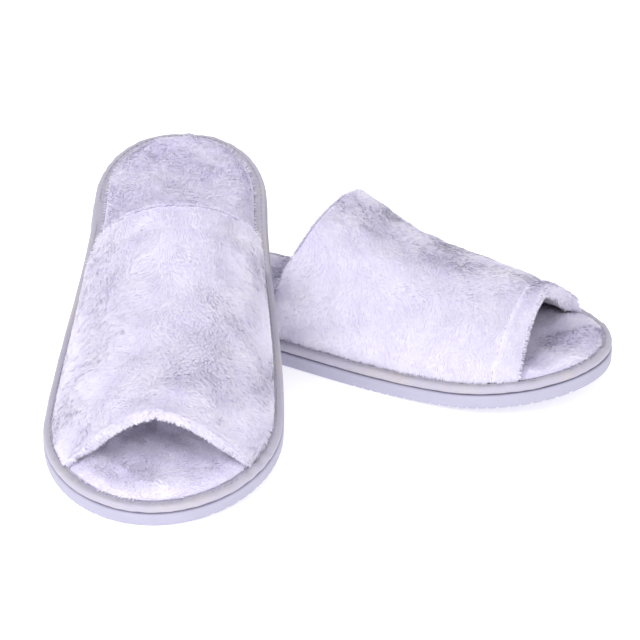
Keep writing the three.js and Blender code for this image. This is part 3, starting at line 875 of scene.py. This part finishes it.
def upper_rings(slipper, pile, cloth):
    """The outer plush: its shown surface, full rings with the hidden inside, and the v of the shown rows."""
    s = arch_places(190)
    out, deep = lip(11)
    hem = np.linspace(0, HEM_SHARE, 9)[1:]
    face = np.linspace(0, 1, 112)
    sink = pile.sink / MM
    deep = np.clip(deep, sink, UPPER_DEPTH - sink / 2)
    shown_v = np.concatenate([hem[::-1], -out[::-1], face[1:-1], 1 + out, 1 - hem])
    turned_in = np.full(8, UPPER_DEPTH - sink / 2)
    shown_depth = np.concatenate([turned_in, deep[::-1], np.full(110, sink), deep, turned_in])
    back_v = [1 - HEM_SHARE, 1 - EDGE_SHARE, 1 - EDGE_SHARE]
    back_depth = [LINING_TOP, LINING_TOP, OUTER_PLUSH_THICKNESS]
    middle = np.linspace(1 - EDGE_SHARE, EDGE_SHARE, 28)[1:-1]
    hidden_v = np.concatenate([back_v, middle, [1 - x for x in back_v[::-1]]])
    hidden_depth = np.concatenate([back_depth, np.full(26, OUTER_PLUSH_THICKNESS), back_depth[::-1]])
    grid_v, grid_s = np.meshgrid(shown_v, s, indexing="xy")
    outside = 1 - smoothstep(shown_depth, sink, sink + 2.5)
    lift = soft_relief(slipper, cloth, np.clip(grid_v, 0, 1), grid_s) * outside
    shown = upper_point(grid_v, grid_s, shown_depth + np.zeros_like(grid_s), lift)
    back = upper_point(*np.meshgrid(hidden_v, s, indexing="xy"), hidden_depth + np.zeros((len(s), 1)))
    return shown, np.concatenate([shown, back], axis=1), shown_v


def make_upper(slipper, pile, cloth):
    """The outer plush with both hems turned in."""
    _, rings, _ = upper_rings(slipper, pile, cloth)
    piece = body_of_rings(slipper.name + "_upper_plush", slipper, rings)
    give(piece, slipper, coral_fleece_ground(), ["upper_outer"])
    return piece


def lining_grid(slipper, cloth, depth):
    """The lining's face at a depth, from one turned-in hem to the other."""
    end = HEM_SHARE + GAP_SHARE
    v, s = np.meshgrid(np.linspace(end, 1 - end, 60), arch_places(120), indexing="xy")
    settled = smoothstep(1 - np.abs(s), 0.0, 0.12)
    waves = ripple(upper_face(v, s), 19, slipper.seed + 3) * 0.5 * cloth.dimple / MM * settled
    return upper_point(v, s, np.full_like(v, depth), waves)


def make_lining(slipper, pile, cloth):
    """The plush lining between the hems."""
    inside = lining_grid(slipper, cloth, UPPER_DEPTH - pile.sink / MM / 2)
    hidden = lining_grid(slipper, cloth, LINING_TOP)[:, ::-1]
    piece = body_of_rings(slipper.name + "_lining_plush", slipper, np.concatenate([inside, hidden], axis=1))
    give(piece, slipper, coral_fleece_ground(), ["upper_lining"])
    return piece


# ---------- pile ----------


# Width and length in millimetres of the cloth that each texture map covers.
UPPER_MAP = np.array([140.0, 230.0])
LINING_MAP = np.array([90.0, 200.0])
INSOLE_MAP = np.array([90.0, 270.0])


def scatter(grid, count, seed, weight=None):
    """Random places spread evenly over a grid: the point, both directions, the normal and the place."""
    rng = np.random.default_rng(seed)
    corner, right, down, far = grid[:-1, :-1], grid[:-1, 1:], grid[1:, :-1], grid[1:, 1:]
    area = np.linalg.norm(np.cross(right - corner, down - corner), axis=-1)
    area += np.linalg.norm(np.cross(right - far, down - far), axis=-1)
    if weight is not None:
        area = area * weight[:-1, :-1]
    chance = np.cumsum(area.ravel())
    cell = np.searchsorted(chance, rng.uniform(0, chance[-1], count))
    i, j = np.unravel_index(np.minimum(cell, area.size - 1), area.shape)
    a, b = rng.uniform(size=(2, count, 1))
    top = lerp(grid[i, j], grid[i, j + 1], a)
    low = lerp(grid[i + 1, j], grid[i + 1, j + 1], a)
    point = lerp(top, low, b)
    along = unit(lerp(grid[i, j + 1] - grid[i, j], grid[i + 1, j + 1] - grid[i + 1, j], b))
    across = unit(low - top)
    normal = unit(np.cross(along, across))
    rows, columns = grid.shape[:2]
    place = np.stack([(j + a[:, 0]) / (columns - 1), (i + b[:, 0]) / (rows - 1)], axis=-1)
    return point, along, across, normal, place


def clump_offsets(points, spacing, seed):
    """For each point, the way to the middle of its nearest clump."""
    rng = np.random.default_rng(seed)
    kept = max(8, int(len(points) * 0.9))
    order = rng.permutation(len(points))[:kept]
    span = points.max(axis=0) - points.min(axis=0)
    boxes = np.floor((points[order] - points.min(axis=0)) / spacing).astype(int)
    shape = np.floor(span / spacing).astype(int) + 2
    keys = (boxes[:, 0] * shape[1] + boxes[:, 1]) * shape[2] + boxes[:, 2]
    _, first = np.unique(keys, return_index=True)
    middles = points[order][first]
    tree = KDTree(len(middles))
    for n, middle in enumerate(middles):
        tree.insert(middle, n)
    tree.balance()
    nearest = np.array([tree.find(p)[1] for p in points])
    return middles[nearest] - points


def tufts(name, slipper, roots, flat, normal, place, lay, length, width, clump, seed, map_size):
    """Tapered two-part tufts from their roots, each drawn towards its clump, with soft surface normals."""
    rng = np.random.default_rng(seed)
    count = len(roots)
    size = length * rng.uniform(0.65, 1.2, (count, 1))
    low, high = lay[:, None] * 1.5, lay[:, None] * 0.55
    first = flat * np.cos(low) + normal * np.sin(low)
    second = flat * np.cos(high) + normal * np.sin(high)
    middle = roots + first * size * 0.5 + clump * 0.35
    tip = middle + second * size * 0.5 + clump * 0.4
    heading = unit(tip - roots)
    side = unit(np.cross(heading, normal))
    twist = rng.normal(0, 0.32, (count, 1))
    side = unit(side * np.cos(twist) + np.cross(heading, side) * np.sin(twist))
    thick = width * rng.uniform(0.7, 1.3, (count, 1))
    corners = np.stack([
        roots - side * thick / 2, roots + side * thick / 2,
        middle - side * thick * 0.4, middle + side * thick * 0.4, tip], axis=1)
    pattern = np.array([[0, 1, 2], [1, 3, 2], [2, 3, 4]])
    facing = np.cross(corners[:, 1] - corners[:, 0], corners[:, 2] - corners[:, 0])
    turned = (np.einsum("ij,ij->i", facing, normal) < 0) != (slipper.side < 0)
    faces = pattern[None] + 5 * np.arange(count)[:, None, None]
    faces[turned] = faces[turned][..., ::-1]
    piece = piece_of(name, slipper.place(corners), faces.reshape(-1, 3).tolist())
    mesh = piece.data
    shade = unit(normal - heading * np.einsum("ij,ij->i", normal, heading)[:, None] * 0.75)
    shade = unit(shade * 0.75 + normal * 0.25)
    turned_shade = (shade * np.array([slipper.side, 1, 1])) @ slipper.turn.T
    mesh.normals_split_custom_set_from_vertices(np.repeat(turned_shade, 5, axis=0).tolist())
    tip_share = mesh.attributes.new("tip", "FLOAT", "POINT")
    tip_share.data.foreach_set("value", np.tile([0.0, 0.0, 0.5, 0.5, 1.0], count))
    layout(mesh, place, map_size)
    return piece


def layout(mesh, place, map_size):
    """A map that lays each tuft out where it grows, so that a texture keeps the pile's patches together."""
    beside = np.array([[-0.5, 0], [0.5, 0], [-0.4, 0.5], [0.4, 0.5], [0, 1]])
    spots = place[:, None] * 0.96 + 0.02 + beside[None] * np.array([1.2, 2.0]) / map_size
    index = np.zeros(len(mesh.loops), np.int32)
    mesh.loops.foreach_get("vertex_index", index)
    uv = mesh.uv_layers.new(name="OFBake", do_init=False)
    uv.uv.foreach_set("vector", np.clip(spots.reshape(-1, 2)[index], 0, 1).astype(np.float32).ravel())


def combed(along, across, angle):
    return unit(along * np.cos(angle)[:, None] + across * np.sin(angle)[:, None])


def make_upper_pile(slipper, pile, cloth):
    """The pile over the upper and its hems: combed to the toe and down the sides, with a few whirls."""
    shown, _, shown_v = upper_rings(slipper, pile, cloth)
    # The pile parts over the toe hem's groove.
    on_face = (np.abs(np.arange(len(shown_v)) - len(shown_v) / 2) < len(shown_v) / 2 - 19) * 1.0
    from_groove = ((1 - shown_v) * CROWN_LENGTH - HEM_STITCH_DISTANCE) / 1.1
    parting = 0.8 * min(1, slipper.toe_groove(cloth) / (1.4 * MM)) * np.exp(-(from_groove**2)) * on_face
    thinned = np.broadcast_to(1 - parting, shown.shape[:2])
    for layer in ("low", "high"):
        seed = slipper.seed + (20 if layer == "low" else 60)
        point, along, across, normal, place = scatter(shown, pile.upper_count, seed, thinned)
        normal = -normal
        s = np.sin(math.pi / 2 * (place[:, 1] * 2 - 1))
        v = np.interp(place[:, 0] * (len(shown_v) - 1), np.arange(len(shown_v)), shown_v)
        downward = np.sign(s) * np.abs(s) ** 1.4 * math.radians(78)
        whirl = math.radians(40) * ripple(point, 26, slipper.seed + 21)
        stray = math.radians(16) * ripple(point, 5, slipper.seed + 22)
        edge = 1 - smoothstep(np.minimum(v, 1 - v), -0.01, 0.015)
        tousled = np.random.default_rng(seed + 5).normal(0, 1.1, len(v)) * edge
        flat = combed(along, across, downward + whirl + stray + tousled)
        bell = np.exp(-(((s - slipper.whirls[0]) / 0.4) ** 2) - ((v - slipper.whirls[1]) / 0.35) ** 2)
        brushed = 0.3 * ripple(point, 22, slipper.seed + 23) + slipper.whirl_strength * bell
        brushed = smoothstep(brushed, 0.4, 1.6)
        lay = np.radians(lerp(18, 31, brushed) + 3 * ripple(point, 4, slipper.seed + 24) + 14 * edge)
        clump = clump_offsets(point, pile.clump / MM, slipper.seed + 25) * lerp(0.2, 0.9, brushed)[:, None]
        column = place[:, 0] * (len(shown_v) - 1)
        length = pile.length / MM * (1 - 0.7 * np.interp(column, np.arange(len(shown_v)), parting))[:, None]
        name = f"{slipper.name}_upper_pile_{layer}"
        piece = tufts(name, slipper, point, flat, normal, place, lay, length, pile.width / MM, clump,
                      seed + 6, UPPER_MAP)
        give(piece, slipper, coral_fleece_pile())


def make_lining_pile(slipper, pile, cloth):
    """The pile inside the upper."""
    inside = lining_grid(slipper, cloth, UPPER_DEPTH - pile.sink / MM / 2)
    point, along, across, normal, place = scatter(inside, pile.lining_count, slipper.seed + 30)
    flat = combed(along, across, math.radians(60) * ripple(point, 24, slipper.seed + 31))
    lay = np.radians(24 + 6 * ripple(point, 4, slipper.seed + 32))
    clump = clump_offsets(point, pile.clump / MM, slipper.seed + 33) * 0.6
    piece = tufts(slipper.name + "_lining_pile", slipper, point, flat, normal, place, lay,
                  0.8 * pile.length / MM, 1.2 * pile.width / MM, clump, slipper.seed + 34, LINING_MAP)
    return give(piece, slipper, coral_fleece_pile())


def make_insole_pile(slipper, pile, cloth):
    """The pile on the insole, spilling over the binding at the open heel and toe."""
    surface, _ = insole_rings(slipper, pile, cloth)
    point, across, along, normal, place = scatter(surface, pile.insole_count, slipper.seed + 40)
    normal = np.where(normal[:, 2:] < 0, -normal, normal)
    edge = np.abs(place[:, 0] * 2 - 1)
    ahead = smoothstep(np.abs(point[:, 1]), HALF_LENGTH - 50, HALF_LENGTH - 6) * 2.2
    outward = np.sign(point) * np.stack([np.ones_like(ahead), ahead, np.zeros_like(ahead)], axis=-1)
    combing = combed(along, -across, math.radians(70) * ripple(point, 30, slipper.seed + 41)
                     + math.radians(22) * ripple(point, 5, slipper.seed + 42))
    at_end = smoothstep(np.abs(point[:, 1]), HALF_LENGTH - 10, HALF_LENGTH - 5)
    spill = np.maximum(smoothstep(edge, 0.93, 1.0), at_end)
    flat = lerp(combing, unit(outward), spill[:, None])
    flat = unit(flat - normal * np.einsum("ij,ij->i", flat, normal)[:, None] * (1 - spill[:, None]))
    brushed = smoothstep(ripple(point, 28, slipper.seed + 43), -0.6, 0.6)
    lay = np.radians(lerp(18, 25, brushed)) * (1 - 0.3 * spill)
    length = pile.length / MM * (1 - 0.3 * spill)[:, None]
    drawn = lerp(0.15, 0.38, brushed) * (1 - spill)
    clump = clump_offsets(point, pile.clump / MM, slipper.seed + 44) * drawn[:, None]
    piece = tufts(slipper.name + "_insole_pile", slipper, point, flat, normal, place, lay, length,
                  pile.width / MM, clump, slipper.seed + 45, INSOLE_MAP)
    return give(piece, slipper, coral_fleece_pile())


# ---------- inner layers ----------


def finish_inner_layers(slipper):
    """Gives the hidden board and sponge layers of the solid model their materials."""
    finishes = (
        ("insole_board", pressed_fibre_board),
        ("insole_foam", cut_sponge),
        ("upper_foam", cut_sponge),
    )
    for node, finish in finishes:
        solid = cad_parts[f"{slipper.name}_{node}"]
        solid.data.materials.clear()
        solid.data.materials.append(finish())


# ---------- stage ----------

CAMERA_AIM = Vector((-0.0085, 0.0609, 0.0))
CAMERA_ELEVATION = math.radians(26.72)
CAMERA_DISTANCE = 1.1178
CAMERA_LENS = 123.9
FLOOR_REACH = 4.0
SKY_STRENGTH = 0.76


def softbox(name, place, aim, size, watts, tint):
    light = bpy.data.lights.new(name, "AREA")
    light.shape = "RECTANGLE"
    light.size, light.size_y = size
    light.energy = watts
    light.color = tint
    lamp = bpy.data.objects.new(name, light)
    lamp.location = place
    lamp.rotation_euler = (Vector(aim) - Vector(place)).to_track_quat("-Z", "Y").to_euler()
    bpy.context.scene.collection.objects.link(lamp)


def make_stage():
    """A white floor, soft light from all round, and the camera."""
    scene = bpy.context.scene
    scene.view_settings.view_transform = "Standard"
    corners = FLOOR_REACH * np.array([(-1, -1, 0), (1, -1, 0), (1, 1, 0), (-1, 1, 0)])
    floor = piece_of("studio_floor", corners, [[0, 1, 2, 3]])
    floor.data.materials.append(studio_floor())
    world = bpy.data.worlds.new("studio_light")
    world.use_nodes = True
    sky = world.node_tree.nodes["Background"].inputs
    sky["Color"].default_value = (1.0, 1.0, 1.0, 1.0)
    sky["Strength"].default_value = SKY_STRENGTH
    scene.world = world
    softbox("key_softbox", (-1.3, -0.7, 1.4), (0, 0, 0.02), (1.2, 1.2), 13, (0.99, 0.98, 1.0))
    softbox("fill_softbox", (1.3, -0.7, 1.0), (0, 0, 0.02), (1.4, 1.0), 2.5, (0.99, 0.98, 1.0))
    softbox("front_softbox", (-0.1, -1.5, 0.3), (-0.07, -0.1, 0.03), (1.4, 0.5), 4.5, (1.0, 0.98, 1.0))
    softbox("low_softbox", (-0.09, -0.95, 0.07), (-0.075, -0.05, 0.02), (0.4, 0.1), 1.4, (1.0, 0.97, 0.99))
    softbox("rear_softbox", (0.2, 1.3, 1.4), (0, 0, 0.02), (1.4, 1.0), 4.5, (1.0, 1.0, 1.0))
    camera_data = bpy.data.cameras.new("camera")
    camera_data.lens = CAMERA_LENS
    camera_data.sensor_width = 36.0
    camera_data.clip_start, camera_data.clip_end = 0.05, 30.0
    camera = bpy.data.objects.new("camera", camera_data)
    back = Vector((0.0, -math.cos(CAMERA_ELEVATION), math.sin(CAMERA_ELEVATION)))
    camera.location = CAMERA_AIM + back * CAMERA_DISTANCE
    camera.rotation_euler = (math.pi / 2 - CAMERA_ELEVATION, 0.0, 0.0)
    scene.collection.objects.link(camera)
    scene.camera = camera


# ---------- operators ----------


class MakeStage(bpy.types.Operator):
    """Set up the floor, the soft light and the camera"""

    bl_idname = "slippers.make_stage"
    bl_label = "Stage"

    def execute(self, context):
        make_stage()
        return {"FINISHED"}


class MakeOutsoles(bpy.types.Operator):
    """Mould the ribbed foam outsoles"""

    bl_idname = "slippers.make_outsoles"
    bl_label = "Outsoles"

    def execute(self, context):
        for slipper in SLIPPERS:
            make_outsole(slipper)
        return {"FINISHED"}


class MakeBindings(bpy.types.Operator):
    """Fold the binding tape round the insole boards"""

    bl_idname = "slippers.make_bindings"
    bl_label = "Bindings"

    def execute(self, context):
        for slipper in SLIPPERS:
            make_binding(slipper, context.scene.slipper_cloth)
        return {"FINISHED"}


class MakeInsoles(bpy.types.Operator):
    """Lay the plush insole covers"""

    bl_idname = "slippers.make_insoles"
    bl_label = "Insoles"

    def execute(self, context):
        for slipper in SLIPPERS:
            make_sponge(slipper)
            make_insole(slipper, context.scene.slipper_pile, context.scene.slipper_cloth)
        return {"FINISHED"}


class MakeUppers(bpy.types.Operator):
    """Sew the plush uppers with their hems"""

    bl_idname = "slippers.make_uppers"
    bl_label = "Uppers"

    def execute(self, context):
        for slipper in SLIPPERS:
            make_upper(slipper, context.scene.slipper_pile, context.scene.slipper_cloth)
        return {"FINISHED"}


class MakeLinings(bpy.types.Operator):
    """Line the uppers"""

    bl_idname = "slippers.make_linings"
    bl_label = "Linings"

    def execute(self, context):
        for slipper in SLIPPERS:
            make_lining(slipper, context.scene.slipper_pile, context.scene.slipper_cloth)
        return {"FINISHED"}


class MakeStitches(bpy.types.Operator):
    """Sew the rows of stitches"""

    bl_idname = "slippers.make_stitches"
    bl_label = "Stitches"

    def execute(self, context):
        for slipper in SLIPPERS:
            make_stitches(slipper, context.scene.slipper_cloth)
        return {"FINISHED"}


class MakePile(bpy.types.Operator):
    """Brush up the plush pile on uppers, linings and insoles"""

    bl_idname = "slippers.make_pile"
    bl_label = "Pile"

    def execute(self, context):
        pile, cloth = context.scene.slipper_pile, context.scene.slipper_cloth
        for slipper in SLIPPERS:
            make_upper_pile(slipper, pile, cloth)
            make_lining_pile(slipper, pile, cloth)
            make_insole_pile(slipper, pile, cloth)
        return {"FINISHED"}


class FinishInnerLayers(bpy.types.Operator):
    """Give the hidden board and sponge layers their materials"""

    bl_idname = "slippers.finish_inner_layers"
    bl_label = "Inner layers"

    def execute(self, context):
        for slipper in SLIPPERS:
            finish_inner_layers(slipper)
        return {"FINISHED"}


OPERATORS = (
    MakeStage, MakeOutsoles, MakeBindings, MakeInsoles, MakeUppers, MakeLinings, MakeStitches, MakePile,
    FinishInnerLayers,
)


class SlipperPanel(bpy.types.Panel):
    """Lists the steps that make the slippers, and the sizes and colours they use"""

    bl_idname = "VIEW3D_PT_slippers"
    bl_label = "Spa slippers"
    bl_space_type = "VIEW_3D"
    bl_region_type = "UI"
    bl_category = "Slippers"

    def draw(self, context):
        for step in OPERATORS:
            self.layout.operator(step.bl_idname)
        for name, group in SETTINGS:
            column = self.layout.column(align=True)
            for size in group.__annotations__:
                column.prop(getattr(context.scene, name), size)


def register():
    for name, group in SETTINGS:
        bpy.utils.register_class(group)
        setattr(bpy.types.Scene, name, PointerProperty(type=group))
    for step in (*OPERATORS, SlipperPanel):
        bpy.utils.register_class(step)


def unregister():
    for step in (SlipperPanel, *reversed(OPERATORS)):
        bpy.utils.unregister_class(step)
    for name, group in reversed(SETTINGS):
        delattr(bpy.types.Scene, name)
        bpy.utils.unregister_class(group)


def main():
    register()
    for step in OPERATORS:
        getattr(bpy.ops.slippers, step.bl_idname.split(".")[1])()


if __name__ == "__main__":
    main()
